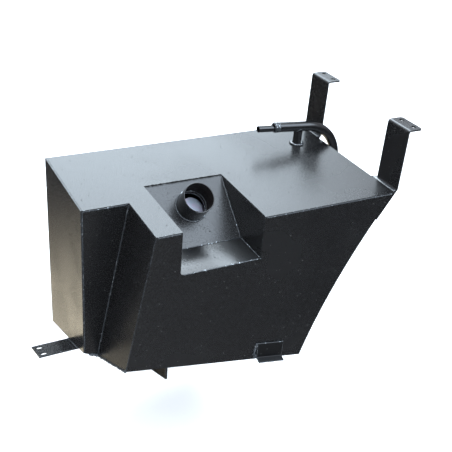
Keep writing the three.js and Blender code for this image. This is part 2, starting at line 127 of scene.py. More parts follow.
def make_camera():
    data = bpy.data.cameras.new("camera")
    data.lens = CAMERA_LENS
    data.sensor_width = CAMERA_SENSOR
    camera = bpy.data.objects.new("camera", data)
    bpy.context.scene.collection.objects.link(camera)
    heading, pitch = math.radians(CAMERA_HEADING), math.radians(CAMERA_PITCH)
    forward = Vector(
        (math.sin(heading) * math.cos(pitch), math.cos(heading) * math.cos(pitch), math.sin(pitch))
    )
    roll = Matrix.Rotation(math.radians(CAMERA_ROLL), 4, forward)
    turn = roll @ forward.to_track_quat("-Z", "Y").to_matrix().to_4x4()
    camera.matrix_world = Matrix.Translation(CAMERA_PLACE) @ turn
    bpy.context.scene.camera = camera


# ------------------------------------------------------------------ shader nodes

MIX_A, MIX_B, MIX_RESULT = 6, 7, 2  # the colour sockets of a Mix node
BLACK = (0, 0, 0, 1)


class Nodes:
    """Short calls that add and link shader nodes."""

    def __init__(self, tree):
        self.tree = tree
        tree.nodes.clear()

    def add(self, kind, **inputs):
        node = self.tree.nodes.new(kind)
        for name, value in inputs.items():
            self.feed(node, name.replace("_", " "), value)
        return node

    def feed(self, node, name, value):
        if isinstance(value, bpy.types.NodeSocket):
            self.tree.links.new(value, node.inputs[name])
        else:
            node.inputs[name].default_value = value

    def math(self, operation, a, b):
        node = self.tree.nodes.new("ShaderNodeMath")
        node.operation = operation
        self.feed(node, 0, a)
        self.feed(node, 1, b)
        return node.outputs[0]

    def times(self, a, b):
        return self.math("MULTIPLY", a, b)

    def plus(self, a, b):
        return self.math("ADD", a, b)

    def smooth(self, value, low, high, to_low=0.0, to_high=1.0):
        """A value carried from one range into another, with soft ends."""
        node = self.tree.nodes.new("ShaderNodeMapRange")
        node.interpolation_type = "SMOOTHSTEP"
        self.feed(node, "Value", value)
        for name, number in (("From Min", low), ("From Max", high), ("To Min", to_low), ("To Max", to_high)):
            self.feed(node, name, number)
        return node.outputs[0]

    def mix(self, share, a, b):
        node = self.tree.nodes.new("ShaderNodeMix")
        node.data_type = "RGBA"
        self.feed(node, "Factor", share)
        self.feed(node, MIX_A, a)
        self.feed(node, MIX_B, b)
        return node.outputs[MIX_RESULT]

    def noise(self, vector, scale, detail=2.0, roughness=0.5):
        node = self.tree.nodes.new("ShaderNodeTexNoise")
        self.feed(node, "Vector", vector)
        self.feed(node, "Scale", scale)
        self.feed(node, "Detail", detail)
        self.feed(node, "Roughness", roughness)
        return node.outputs[0]

    def place(self):
        """The point of the surface, in the piece's own metres."""
        return self.add("ShaderNodeTexCoord").outputs["Object"]

    def vectors(self, operation, output, a, b):
        node = self.tree.nodes.new("ShaderNodeVectorMath")
        node.operation = operation
        self.feed(node, 0, a)
        self.feed(node, 1, b)
        return node.outputs[output]


def finished(name):
    """A new material, and the helper that fills its node tree."""
    material = bpy.data.materials.new(name)
    material.use_nodes = True
    return material, Nodes(material.node_tree)


def close(n, surface):
    output = n.add("ShaderNodeOutputMaterial")
    n.tree.links.new(surface.outputs[0], output.inputs["Surface"])


def bump(n, height, distance):
    return n.add("ShaderNodeBump", Height=height, Distance=distance, Strength=1.0).outputs["Normal"]


# ------------------------------------------------------------------ studio


def aim(azimuth, elevation):
    """A direction: azimuth in degrees to the right of +Y, elevation above the horizon."""
    a, e = math.radians(azimuth), math.radians(elevation)
    return (math.sin(a) * math.cos(e), math.cos(a) * math.cos(e), math.sin(e))


# Azimuth, elevation, full to this many degrees from there, gone at this many, radiance (red, green, blue).
SOFT_BOXES = (
    (11, 33, 15, 32, (3.40, 4.0, 4.46)),
    (29, 58, 9, 25, (5.7, 6.5, 7.2)),
    (156, 54, 18, 42, (4.05, 4.75, 5.5)),
    (-100, 40, 15, 50, (1.0, 1.1, 1.2)),
)
SKY = (0.56, 0.56, 0.61)
GROUND_DARK = (0.085, 0.085, 0.09)
GROUND_FRONT = (0.20, 0.20, 0.205)  # added towards the front, but not far to the right
GROUND_WARM = (2.3, 2.07, 1.60)  # low down and behind, but not far to the left
# Each part of the world comes up between two values of a direction's own Z, X or Y.
BOX_HORIZON = (0.04, 0.30)
SKY_HORIZON = (-0.02, 0.30)
WARM_DOWN = (-0.46, -0.68)
WARM_BEHIND = (-0.15, 0.35)
WARM_SIDE = (-0.68, -0.45)
FRONT_SIDE = (0.62, 0.22)
FRONT_AHEAD = (-0.10, -0.55)


def make_world():
    """Large soft boxes over a dim sky, and a ground that is dark in front and warm behind."""
    world = bpy.data.worlds.new("studio")
    bpy.context.scene.world = world
    world.use_nodes = True
    n = Nodes(world.node_tree)
    direction = n.add("ShaderNodeTexCoord").outputs["Generated"]
    split = n.add("ShaderNodeSeparateXYZ", Vector=direction)
    height = split.outputs["Z"]
    across, along = split.outputs["X"], split.outputs["Y"]
    warm = n.times(n.smooth(height, *WARM_DOWN), n.smooth(along, *WARM_BEHIND))
    warm = n.times(warm, n.smooth(across, *WARM_SIDE))
    ahead = n.times(n.smooth(across, *FRONT_SIDE), n.smooth(along, *FRONT_AHEAD))
    ground = n.mix(warm, (*GROUND_DARK, 1), (*GROUND_WARM, 1))
    ground = n.vectors("ADD", "Vector", ground, n.mix(ahead, BLACK, (*GROUND_FRONT, 1)))
    total = n.mix(n.smooth(height, *SKY_HORIZON), ground, (*SKY, 1))
    risen = n.smooth(height, *BOX_HORIZON)
    for azimuth, elevation, full, gone, radiance in SOFT_BOXES:
        facing = n.vectors("DOT_PRODUCT", "Value", direction, aim(azimuth, elevation))
        share = n.smooth(facing, math.cos(math.radians(gone)), math.cos(math.radians(full)))
        lit = n.mix(n.times(share, risen), BLACK, (*radiance, 1))
        total = n.vectors("ADD", "Vector", total, lit)
    background = n.add("ShaderNodeBackground", Color=total)
    output = n.add("ShaderNodeOutputWorld")
    n.tree.links.new(background.outputs[0], output.inputs["Surface"])


FLOOR_BELOW = 0.09  # the tank hangs from its straps, just clear of the floor
FLOOR_REACH = 16.0
FLOOR_SHADES = ((0.93, 0.90, 0.87, 1), (0.96, 0.93, 0.90, 1))
FLOOR_CLOUDS = 3.0
FLOOR_ROUGHNESS = 0.9
FLAG_INSET = (0.0, 0.08)  # from the object's left and right ends
FLAG_BEHIND = 0.15
FLAG_RAISE = 0.005
BACKDROP_COLOUR = (0.93, 0.94, 0.95, 1)
BACKDROP_RADIUS = FLOOR_REACH * 1.2
BACKDROP_SUBDIVISIONS = 4


def level_mesh(name, left, right, front, back, height):
    mesh = bpy.data.meshes.new(name)
    corners = ((left, front), (right, front), (right, back), (left, back))
    mesh.from_pydata([(x, y, height) for x, y in corners], [], [(0, 1, 2, 3)])
    return mesh


def stage_object(name, mesh, material, unseen_by):
    """A part of the studio, left out of some kinds of ray."""
    mesh.materials.append(material)
    thing = bpy.data.objects.new(name, mesh)
    bpy.context.scene.collection.objects.link(thing)
    for ray in unseen_by:
        setattr(thing, f"visible_{ray}", False)
    return thing


def make_flag(low, high):
    """A black card under the tank that only reflections see, as the tank's own shade on the floor."""
    left, right = low.x + FLAG_INSET[0], high.x - FLAG_INSET[1]
    height = low.z - FLOOR_BELOW + FLAG_RAISE
    mesh = level_mesh("flag", left, right, low.y, high.y + FLAG_BEHIND, height)
    material, n = finished("flag")
    close(n, n.add("ShaderNodeEmission", Strength=0.0))
    flag = stage_object("flag", mesh, material, ("camera", "diffuse", "transmission", "shadow"))


def make_floor(low):
    """A pale floor, open from below so that the tank's underside can be looked at."""
    mesh = level_mesh("floor", -FLOOR_REACH, FLOOR_REACH, -FLOOR_REACH, FLOOR_REACH, low.z - FLOOR_BELOW)
    material, n = finished("floor")
    shade = n.mix(n.noise(n.place(), FLOOR_CLOUDS), *FLOOR_SHADES)
    surface = n.add("ShaderNodeBsdfPrincipled", Base_Color=shade, Roughness=FLOOR_ROUGHNESS)
    surface.inputs["Specular IOR Level"].default_value = 0.0
    one_sided = n.add("ShaderNodeMixShader", Fac=n.add("ShaderNodeNewGeometry").outputs["Backfacing"])
    n.tree.links.new(surface.outputs[0], one_sided.inputs[1])
    n.tree.links.new(n.add("ShaderNodeBsdfTransparent").outputs[0], one_sided.inputs[2])
    close(n, one_sided)
    floor = stage_object("floor", mesh, material, ("glossy",))


def make_backdrop():
    """A plain pale surround that only the camera sees."""
    bm = bmesh.new()
    bmesh.ops.create_icosphere(bm, subdivisions=BACKDROP_SUBDIVISIONS, radius=BACKDROP_RADIUS)
    mesh = bpy.data.meshes.new("backdrop")
    bm.to_mesh(mesh)
    bm.free()
    material, n = finished("backdrop")
    close(n, n.add("ShaderNodeEmission", Color=BACKDROP_COLOUR, Strength=1.0))
    backdrop = stage_object("backdrop", mesh, material, ("diffuse", "glossy", "transmission", "shadow"))


# ------------------------------------------------------------------ materials

PEEL_DEPTH = 0.00010  # metres; the other heights of the coat are shares of it
PEEL_SCALE = 420
GRAIN_SCALE, GRAIN_HEIGHT = 820, 0.9
CLOUD_SCALE = 7
CLOUD_DARK, CLOUD_LIGHT = 0.85, 1.2
PIT_CELLS = (70, 0.10, 0.06)  # cells to a metre, and how far from its middle a mark ends and is full
PIT_CHANCE = (0.45, 0.50)  # a cell has a mark where its random number is above this
SPECK_CELLS = (150, 0.16, 0.06)
SPECK_CHANCE = (0.80, 0.84)
MARK_HEIGHT = 3.0
PIT_ROUGHNESS = 0.7
# Light grey specks, painted as the coat's tiny glints.
GLINT_SPECK_COLOUR, GLINT_SPECK_SHARE = (0.16, 0.16, 0.15, 1), 0.7
SPARKLE_SCALE, SPARKLE_FROM, SPARKLE_ROUGHNESS = 560, (0.52, 0.74), 0.30
BARE_SCALE, BARE_FROM, BARE_SPREAD = 230, (0.66, 0.72), 0.14
BARE_COLOUR, BARE_METAL = (0.36, 0.39, 0.41, 1), 0.9
MIDDLE_OF_NOISE = (0.3, 0.7)


def cell_marks(n, place, cells, chance):
    """Round marks in some of the cells of a random pattern."""
    scale, end, full = cells
    pattern = n.add("ShaderNodeTexVoronoi", Vector=place, Scale=scale)
    mark = n.smooth(pattern.outputs["Distance"], end, full)
    split = n.add("ShaderNodeSeparateColor", Color=pattern.outputs["Color"])
    return n.times(mark, n.smooth(split.outputs[0], *chance))


def tinted(base, share):
    return (*(v * share for v in base), 1)


def powder_coat(name, base, rough_low, rough_high, peel=1.0, pits=1.0, bare=0.0, warp=None, index=1.6):
    """Black powder coat: orange peel, crisp grain, sparse pits, raised light specks whose colour paints tiny
    glints, a slow change of gloss.

    bare lets worn metal through in small spots, and warp adds a slow bend of the sheet, in metres.
    """
    material, n = finished(name)
    place = n.place()
    cloud = n.noise(place, CLOUD_SCALE)
    pit = cell_marks(n, place, PIT_CELLS, PIT_CHANCE)
    speck = cell_marks(n, place, SPECK_CELLS, SPECK_CHANCE)

    grain = n.noise(place, GRAIN_SCALE, 2.0, 0.7)
    height = n.plus(n.noise(place, PEEL_SCALE), n.times(grain, GRAIN_HEIGHT))
    height = n.math("SUBTRACT", height, n.times(pit, MARK_HEIGHT * pits))
    height = n.plus(height, n.times(speck, MARK_HEIGHT * pits))
    if warp:
        height = n.plus(height, n.times(warp(n, place), 1 / (PEEL_DEPTH * peel)))

    colour = n.mix(cloud, tinted(base, CLOUD_DARK), tinted(base, CLOUD_LIGHT))
    # Painted glints: light specks mixed into the colour.
    colour = n.mix(n.times(speck, GLINT_SPECK_SHARE * pits), colour, GLINT_SPECK_COLOUR)

    rough = n.smooth(cloud, *MIDDLE_OF_NOISE, rough_low, rough_high)
    sparkle = n.smooth(n.noise(place, SPARKLE_SCALE, 1.0), *SPARKLE_FROM)
    rough = n.plus(rough, n.times(sparkle, SPARKLE_ROUGHNESS * pits))
    rough = n.plus(rough, n.times(pit, PIT_ROUGHNESS * pits))

    surface = n.add("ShaderNodeBsdfPrincipled", Roughness=rough)
    if bare:
        worn = n.smooth(n.noise(place, BARE_SCALE, 1.0), *(v - BARE_SPREAD * bare for v in BARE_FROM))
        colour = n.mix(worn, colour, BARE_COLOUR)
        n.feed(surface, "Metallic", n.times(worn, BARE_METAL))
    n.feed(surface, "Base Color", colour)
    surface.inputs["IOR"].default_value = index
    n.feed(surface, "Normal", bump(n, height, PEEL_DEPTH * peel))
    close(n, surface)
    return material


BLOTCH_SCALE, BLOTCH_DEPTH = 160, 0.0003
BLOTCH_DARK, BLOTCH_LIGHT = 0.5, 1.8
MATT_ROUGHNESS = (0.62, 0.85)
MATT_SPECULAR = 0.18


def matt_black(name, base):
    """Thin, rough black: unlit inner walls, and a painted shadow gap along a seam."""
    material, n = finished(name)
    blotch = n.noise(n.place(), BLOTCH_SCALE, 3.0)
    colour = n.mix(blotch, tinted(base, BLOTCH_DARK), tinted(base, BLOTCH_LIGHT))
    rough = n.smooth(blotch, *MIDDLE_OF_NOISE, *MATT_ROUGHNESS)
    surface = n.add("ShaderNodeBsdfPrincipled", Base_Color=colour, Roughness=rough)
    surface.inputs["Specular IOR Level"].default_value = MATT_SPECULAR
    n.feed(surface, "Normal", bump(n, blotch, BLOTCH_DEPTH))
    close(n, surface)
    return material


TINT_SCALE, TINT_FROM = 45, (0.35, 0.65)
METAL_GRAIN_DEPTH = 0.00004


def metal(name, light, dark, rough_low, rough_high, grain_scale):
    """Bare or plated metal: tinted clouds, fine grain and uneven gloss."""
    material, n = finished(name)
    place = n.place()
    grain = n.noise(place, grain_scale, 3.0)
    tint = n.smooth(n.noise(place, TINT_SCALE, 3.0), *TINT_FROM)
    rough = n.smooth(grain, *MIDDLE_OF_NOISE, rough_low, rough_high)
    colour = n.mix(tint, (*dark, 1), (*light, 1))
    surface = n.add("ShaderNodeBsdfPrincipled", Base_Color=colour, Roughness=rough)
    surface.inputs["Metallic"].default_value = 1.0
    n.feed(surface, "Normal", bump(n, grain, METAL_GRAIN_DEPTH))
    close(n, surface)
    return material


def recess_x(share):
    """The row frame's X at a share of the recess's length, from its left end."""
    return at(RECESS_LEFT + share * (RECESS_RIGHT - RECESS_LEFT), 0, 0).x


WARP_MIDDLE = at(218, 0, 0).x  # left of here the shelf sags
WARP_BEND = 0.0003 / MM
WARP_FOLD = at(0, RECESS_FOLD, 0).y  # ahead of here its front edge droops
WARP_DROOP = 1.9
WARP_DROOP_FROM, WARP_DROOP_TO = recess_x(0.28), recess_x(0.76)  # the droop fades out between these


def shelf_warp(n, place):
    """Welding has bent the shelf: its left half sags, and its front edge droops on the left."""
    split = n.add("ShaderNodeSeparateXYZ", Vector=place)
    away = n.math("MAXIMUM", n.math("SUBTRACT", WARP_MIDDLE, split.outputs["X"]), 0.0)
    sag = n.times(n.times(away, away), -WARP_BEND)
    ahead = n.math("MAXIMUM", n.math("SUBTRACT", WARP_FOLD, split.outputs["Y"]), 0.0)
    droop = n.times(n.times(ahead, ahead), -WARP_DROOP)
    share = n.smooth(split.outputs["X"], WARP_DROOP_FROM, WARP_DROOP_TO, 1.0, 0.0)
    return n.plus(sag, n.times(droop, share))


COAT = (0.0052, 0.0054, 0.0058)
# A lighter grey copy of the coat: on welds and ledges it paints their highlights.
HIGHLIGHT_COAT = (0.030, 0.034, 0.038)

PAINT = powder_coat("black_powder_coat", COAT, 0.17, 0.29)
SHELF_PAINT = powder_coat("black_powder_coat_on_shelf", COAT, 0.20, 0.33, warp=shelf_warp)
PIPE_PAINT = powder_coat(
    "black_powder_coat_on_pipes", (0.0050, 0.0053, 0.0058), 0.10, 0.17, peel=0.6, pits=0.3)
# Rounded edges: a lighter grey copy of the coat that paints an edge highlight; its metal spots are wear.
EDGE_HIGHLIGHT_AND_WEAR_PAINT = powder_coat(
    "black_powder_coat_on_edges_painted_highlight_and_wear", (0.022, 0.024, 0.026), 0.14, 0.26, peel=0.6, pits=0.3, bare=0.25)
# Welds: the lighter grey paints a highlight along the beads; the metal spots are wear.
WELD_HIGHLIGHT_AND_WEAR_PAINT = powder_coat(
    "black_powder_coat_on_welds_painted_highlight_and_wear", HIGHLIGHT_COAT, 0.12, 0.24, peel=2.2, pits=0.2, bare=0.4)
# Heavy welds: a still lighter grey that paints bright blobs of highlight, with more metal spots of wear.
HEAVY_WELD_HIGHLIGHT_AND_WEAR_PAINT = powder_coat(
    "black_powder_coat_on_heavy_welds_painted_highlight_and_wear", (0.040, 0.046, 0.052), 0.10, 0.22, peel=2.2, pits=0.2, bare=0.75)
# Tab and rail: a darker, duller copy of the coat whose darker colour paints the shade they sit in.
BRACKET_SHADE_PAINT = powder_coat(
    "black_powder_coat_on_brackets_painted_shade", (0.0040, 0.0042, 0.0046), 0.27, 0.40, index=1.38)
# Ledges and the breather collar: the lighter grey paints their highlight.
LEDGE_HIGHLIGHT_PAINT = powder_coat(
    "black_powder_coat_on_ledges_painted_highlight", HIGHLIGHT_COAT, 0.14, 0.26, peel=1.2, pits=0.2, index=2.0)
# A matt black that paints the shadow gap under the top plate's edge at the recess's back.
SHADOW_GAP_BLACK = matt_black("painted_shadow_gap_black", (0.0035, 0.0033, 0.0032))
INSIDE = matt_black("unlit_tube_wall", (0.0065, 0.0045, 0.0038))
ZINC = metal("zinc_plate", (0.60, 0.68, 0.76), (0.72, 0.60, 0.74), 0.50, 0.62, 600)
STEEL = metal("bare_steel", (0.42, 0.43, 0.44), (0.30, 0.30, 0.30), 0.38, 0.55, 900)
BRASS = metal("brass", (0.66, 0.49, 0.21), (0.52, 0.37, 0.14), 0.26, 0.40, 900)
COPPER = metal("copper", (0.66, 0.33, 0.18), (0.48, 0.21, 0.11), 0.30, 0.45, 900)

# ------------------------------------------------------------------ mesh tools

UP = Vector((0, 0, 1))
BACKWARDS = Vector((0, 1, 0))


def new_piece(name, mesh, body, slot, materials, *stands_for):
    """A visual piece on a body, with its finish, standing for the CAD nodes it replaces."""
    piece = bpy.data.objects.new(name, mesh)
    bpy.context.scene.collection.objects.link(piece)
    for material in materials:
        mesh.materials.append(material)
    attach(piece, body)
    if stands_for:
        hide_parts(*stands_for)
    return piece


SHEET_ANGLE = 32


def soften(piece, angle=SHEET_ANGLE):
    """Smooth shading up to an angle in degrees, with flat faces kept flat."""
    piece.data.shade_smooth()
    piece.data.set_sharp_from_angle(angle=math.radians(angle))
    normals = piece.modifiers.new("flat_faces", "WEIGHTED_NORMAL")
    normals.keep_sharp = True


MERGE_BEFORE, MERGE_AFTER = 0.01, 0.002  # millimetres
FLAT_ANGLE, SHARP_ANGLE = math.radians(1), math.radians(28)
CORNER_SEGMENTS = 7
ROUND = 0.5  # the profile of a bevel
EDGE_MATERIAL = 1


def refined(node, bevel, segments=2, body="tank", slot="black_paint", materials=None, corner=0.0):
    """A copy of a CAD node with its facets merged and its edges rounded by bevel millimetres.

    corner also rounds the outline of its right-hand end.
    """
    bm = bmesh.new()
    bm.from_mesh(NODES[node].data)
    bmesh.ops.remove_doubles(bm, verts=bm.verts, dist=MERGE_BEFORE * MM)
    bmesh.ops.dissolve_limit(bm, angle_limit=FLAT_ANGLE, verts=bm.verts, edges=bm.edges)
    if corner:
        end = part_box(node)[1].x - 0.1 * MM
        short = [e for e in bm.edges if e.calc_length() < corner * MM and min(v.co.x for v in e.verts) > end]
        bmesh.ops.bevel(
            bm, geom=short, offset=corner * MM, segments=CORNER_SEGMENTS, profile=ROUND, affect="EDGES",
        )
    sharp = [e for e in bm.edges if e.is_manifold and e.calc_face_angle() > SHARP_ANGLE]
    bmesh.ops.bevel(
        bm, geom=sharp, offset=bevel * MM, segments=segments, profile=ROUND, affect="EDGES",
        clamp_overlap=True, material=EDGE_MATERIAL,
    )
    bmesh.ops.remove_doubles(bm, verts=bm.verts, dist=MERGE_AFTER * MM)
    mesh = bpy.data.meshes.new(f"{node}_finished")
    bm.to_mesh(mesh)
    bm.free()
    soften(new_piece(f"{node}_finished", mesh, body, slot, materials or [PAINT, EDGE_HIGHLIGHT_AND_WEAR_PAINT], node))


def frames_along(path, up, closed=False):
    """For each point of a path: the point, the direction to its side and the one that rises towards up."""
    count = len(path)
    frames = []
    for i in range(count):
        before = path[i - 1] if i or closed else path[0]
        after = path[(i + 1) % count] if i + 1 < count or closed else path[-1]
        tangent = (after - before).normalized()
        side = tangent.cross(up).normalized()
        frames.append((path[i], side, side.cross(tangent)))
    return frames


def resample(path, step):
    """Points at even spacing along a polyline."""
    out, left = [path[0].copy()], step
    for a, b in zip(path, path[1:]):
        length = (b - a).length
        while left <= length:
            out.append(a.lerp(b, left / length))
            left += step
        left -= length
    return out


def band(bm, a, b):
    """Faces between two closed rings of vertices."""
    count = len(a)
    for i in range(count):
        k = (i + 1) % count
        bm.faces.new((a[i], a[k], b[k], b[i]))


def skin(bm, rings, closed=False):
    """Faces between rings of points; closed joins the last ring to the first."""
    made = [[bm.verts.new(p) for p in ring] for ring in rings]
    for a, b in zip(made, made[1:]):
        band(bm, a, b)
    if closed:
        band(bm, made[-1], made[0])
    return made


BEAD_STEP = 0.7
# How uneven a bead is, as shares of its radius, three of them with the scale of their noise.
RIPPLE = 0.20
SWELL, SWELL_SCALE = 0.28, 260
DRIFT, DRIFT_SCALE = 0.2, 170
LUMP, LUMP_SCALE = 0.12, 700
TAPER = 0.35  # the width at a tip, and what each step adds to it
NOISE_REACH = 50


def add_bead(bm, path, radius, up, seed, closed=False, pitch=2.4, flat=0.75, rough=1.0, sides=9):
    """A weld bead along a path: overlapping ripples, a wandering width and tapered ends.

    radius and pitch, the length of a ripple, are in millimetres; flat is its height over its half width.
    """
    points = path if closed else resample(path, BEAD_STEP * MM)
    rng = random.Random(seed)
    shift = Vector([rng.uniform(0, NOISE_REACH) for _ in range(3)])
    total = len(points)
    run, rings = 0.0, []
    for i, (point, side, rise) in enumerate(frames_along(points, up, closed)):
        if i:
            run += (point - points[i - 1]).length
        ripple = (run / (pitch * MM)) % 1.0
        swell = 1 + RIPPLE * (1 - ripple) ** 2 + SWELL * rough * noise.noise(point * SWELL_SCALE + shift)
        if not closed:
            swell *= min(1.0, TAPER + TAPER * min(i, total - 1 - i))
        drift = DRIFT * radius * rough * noise.noise(point * DRIFT_SCALE + shift * 2) * MM
        ring = []
        for k in range(sides):
            angle = 2 * math.pi * k / sides
            lump = 1 + LUMP * rough * noise.noise(point * LUMP_SCALE + shift + Vector((k, 0, 0)))
            reach = radius * MM * swell * lump
            out = side * (reach * math.cos(angle) + drift)
            ring.append(point + out + rise * reach * flat * math.sin(angle))
        rings.append(ring)
    made = skin(bm, rings, closed)
    if not closed:
        bm.faces.new(reversed(made[0]))
        bm.faces.new(made[-1])


def circle(centre, axis, radius, count):
    """Points round an axis; the radius is in millimetres."""
    side = axis.orthogonal().normalized()
    other = axis.cross(side)
    turns = [2 * math.pi * i / count for i in range(count)]
    return [centre + (side * math.cos(a) + other * math.sin(a)) * radius * MM for a in turns]


TURNED_SIDES = 72
PIPE_SIDES = 32
WOBBLE_SCALE = 420


def add_turned(bm, profile, centre, axis, wobble):
    """A closed outline of (radius, station) in millimetres, turned round an axis; wobble makes it uneven."""
    side = axis.orthogonal().normalized()
    other = axis.cross(side)
    rings = []
    for i in range(TURNED_SIDES):
        angle = 2 * math.pi * i / TURNED_SIDES
        out = side * math.cos(angle) + other * math.sin(angle)
        ring = []
        for radius, station in profile:
            point = centre + out * radius * MM + axis * station * MM
            if wobble:
                point += out * wobble * MM * noise.noise(point * WOBBLE_SCALE)
            ring.append(point)
        rings.append(ring)
    skin(bm, rings, closed=True)


def add_pipe(bm, path, outer, inner, up):
    """A hollow pipe along a path, with square ends; its two radii are in millimetres."""
    shells = []
    for radius in (outer, inner):
        rings = []
        for point, side, rise in frames_along(path, up):
            turns = [2 * math.pi * k / PIPE_SIDES for k in range(PIPE_SIDES)]
            rings.append([point + (side * math.cos(a) + rise * math.sin(a)) * radius * MM for a in turns])
        shells.append(skin(bm, rings))
    for end in (0, -1):
        band(bm, shells[0][end], shells[1][end])


def finish_mesh(name, bm):
    """The mesh of what has been built, its faces turned outwards."""
    bmesh.ops.recalc_face_normals(bm, faces=bm.faces)
    mesh = bpy.data.meshes.new(name)
    bm.to_mesh(mesh)
    bm.free()
    return mesh


def welds(name, beads, stands_for=(), material=WELD_HIGHLIGHT_AND_WEAR_PAINT):
    """Several beads as one piece. Each bead is (path, radius, up, settings)."""
    bm = bmesh.new()
    for i, (path, radius, up, settings) in enumerate(beads):
        add_bead(bm, path, radius, up, i * 7 + len(name), **settings)
    mesh = finish_mesh(name, bm)
    new_piece(name, mesh, "tank", "black_paint", [material], *stands_for)
    mesh.shade_smooth()


TUBE_ANGLE = 40  # a tube's wall is smooth up to this angle


def turned_piece(name, profile, centre, axis, materials, *stands_for, wobble=0.0):
    """A painted tube or collar on the tank."""
    bm = bmesh.new()
    add_turned(bm, profile, centre, axis, wobble)
    piece = new_piece(name, finish_mesh(name, bm), "tank", "black_paint", materials, *stands_for)
    soften(piece, TUBE_ANGLE)
    return piece


def line(*points):
    """A path through points given in millimetres from the tank's corner."""
    return [at(*p) for p in points]


# ------------------------------------------------------------------ filler neck

NECK = {"radius": 28.5, "wall": 1.7, "length": 45.0, "gap": 0.3, "lip": 0.85}
NECK_AXIS = Vector(next(m["axis"] for m in frame["record"]["mounts"] if m["name"] == "filler_neck_mouth"))
NECK_AXIS.normalize()
LIP_STEPS = 8
# Rings of weld: height up the neck, distance out from the tube's outer or inner face, points, bead radius.
NECK_FOOT = (1.0, 0.9, 190, 1.4)
NECK_STEP = (6.5, 0.1, 150, 0.9)


def neck_base():
    """The middle of the neck's foot, on the sloping panel."""
    low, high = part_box("filler_neck")
    return (low + high) / 2 - NECK_AXIS * (NECK["length"] + NECK["gap"]) / 2 * MM


def rolled_lip(middle, station, radius):
    """Points of (radius, station) over the rounded mouth of a tube, from its outside to its inside."""
    turns = [math.radians(180 * i / LIP_STEPS) for i in range(LIP_STEPS + 1)]
    return [(middle + radius * math.cos(a), station + radius * math.sin(a)) for a in turns]


def make_neck():
    base, axis = neck_base(), NECK_AXIS
    radius, wall, length, gap, lip = (NECK[k] for k in ("radius", "wall", "length", "gap", "lip"))
    profile = [(radius - wall, gap), (radius, gap)]
    profile += rolled_lip(radius - wall / 2, length - lip, lip)
    tube = turned_piece("filler_neck_tube", profile, base, axis, [PIPE_PAINT, INSIDE], "filler_neck")
    for face in tube.data.polygons:
        across = face.center - base
        across -= axis * across.dot(axis)
        if across.length < (radius - wall * 0.8) * MM:  # a face of the bore
            face.material_index = 1

    height, out, count, foot_radius = NECK_FOOT
    foot = circle(base + axis * height * MM, axis, radius + out, count)
    height, out, count, step_radius = NECK_STEP
    step = circle(base + axis * height * MM, axis, radius - wall - out, count)
    beads = [
        (foot, foot_radius, axis, {"closed": True, "pitch": 3.1, "rough": 1.5}),
        (step, step_radius, axis, {"closed": True, "pitch": 2.2, "rough": 1.6}),
    ]
    welds("filler_neck_welds", beads, ["neck_weld_bead"])
    refined("splash_plate", 0.3, slot="zinc_plate", materials=[ZINC, ZINC])


# ------------------------------------------------------------------ breather

# The cross pipe: its middle line's height over the stub and its fall per mm to the right, its two radii, the
# radius of the bend that turns it down at X = drop, and the height where it ends.
PIPE = {
    "height": 37.7, "fall": 0.0787, "radius": 10.0, "bore": 8.2, "bend": 84.0, "drop": 598.0, "end": -80.0,
}
PIPE_GAP = 0.3
BEND_STEPS = 28
STUB = {"radius": 9.0, "bore": 7.2, "foot": 0.3, "into_pipe": 2.5}
# The spigot's ends are stations along the pipe from the stub; its middle line is a little below the pipe's.
SPIGOT = {
    "start": -96.0, "end": -53.0, "radius": 6.5, "bore": 5.0, "below": 2.0, "edge": 0.5, "bore_edge": 0.4,
}
# Radius and station of the lump of weld where the pipe narrows to the spigot.
JOINT_SWELL = (
    (6.2, -60.2), (8.8, -60.4), (10.2, -59.2), (10.8, -57.2), (10.5, -55.2), (10.15, -53.6),
    (10.35, -51.2), (10.1, -48.6), (9.9, -47.2), (9.9, -53.5), (6.2, -53.5),
)
JOINT_WOBBLE = 0.5
SADDLE_OUT, SADDLE_POINTS, SADDLE_RADIUS = 0.4, 80, 1.3
COLLAR_UP, COLLAR_OUT, COLLAR_POINTS, COLLAR_RADIUS = 1.5, 2.1, 90, 3.1


def cross_pipe_path(start, stub, turn):
    """The pipe's middle line, from a point near the spigot, along its slope, round the bend and down."""
    sweep = math.pi / 2 - turn
    back = PIPE["bend"] * math.tan(sweep / 2)
    corner_z = PIPE["height"] - (PIPE["drop"] - stub.x) * PIPE["fall"]
    centre_x, centre_z = PIPE["drop"] - PIPE["bend"], corner_z - back
    path = [start]
    for i in range(BEND_STEPS + 1):
        angle = sweep * (1 - i / BEND_STEPS)
        x = centre_x + PIPE["bend"] * math.cos(angle)
        path.append(at(x, stub.y, centre_z + PIPE["bend"] * math.sin(angle)))
    path.append(at(PIPE["drop"], stub.y, PIPE["end"]))
    return path


def saddle_path(stub):
    """The line where the upright stub meets the round of the pipe."""
    path = []
    ring = STUB["radius"] + SADDLE_OUT
    for i in range(SADDLE_POINTS):
        angle = 2 * math.pi * i / SADDLE_POINTS
        dx, dy = ring * math.cos(angle), ring * math.sin(angle)
        drop = math.sqrt(PIPE["radius"] ** 2 - dy**2)
        path.append(at(stub.x + dx, stub.y + dy, PIPE["height"] - dx * PIPE["fall"] - drop))
    return path


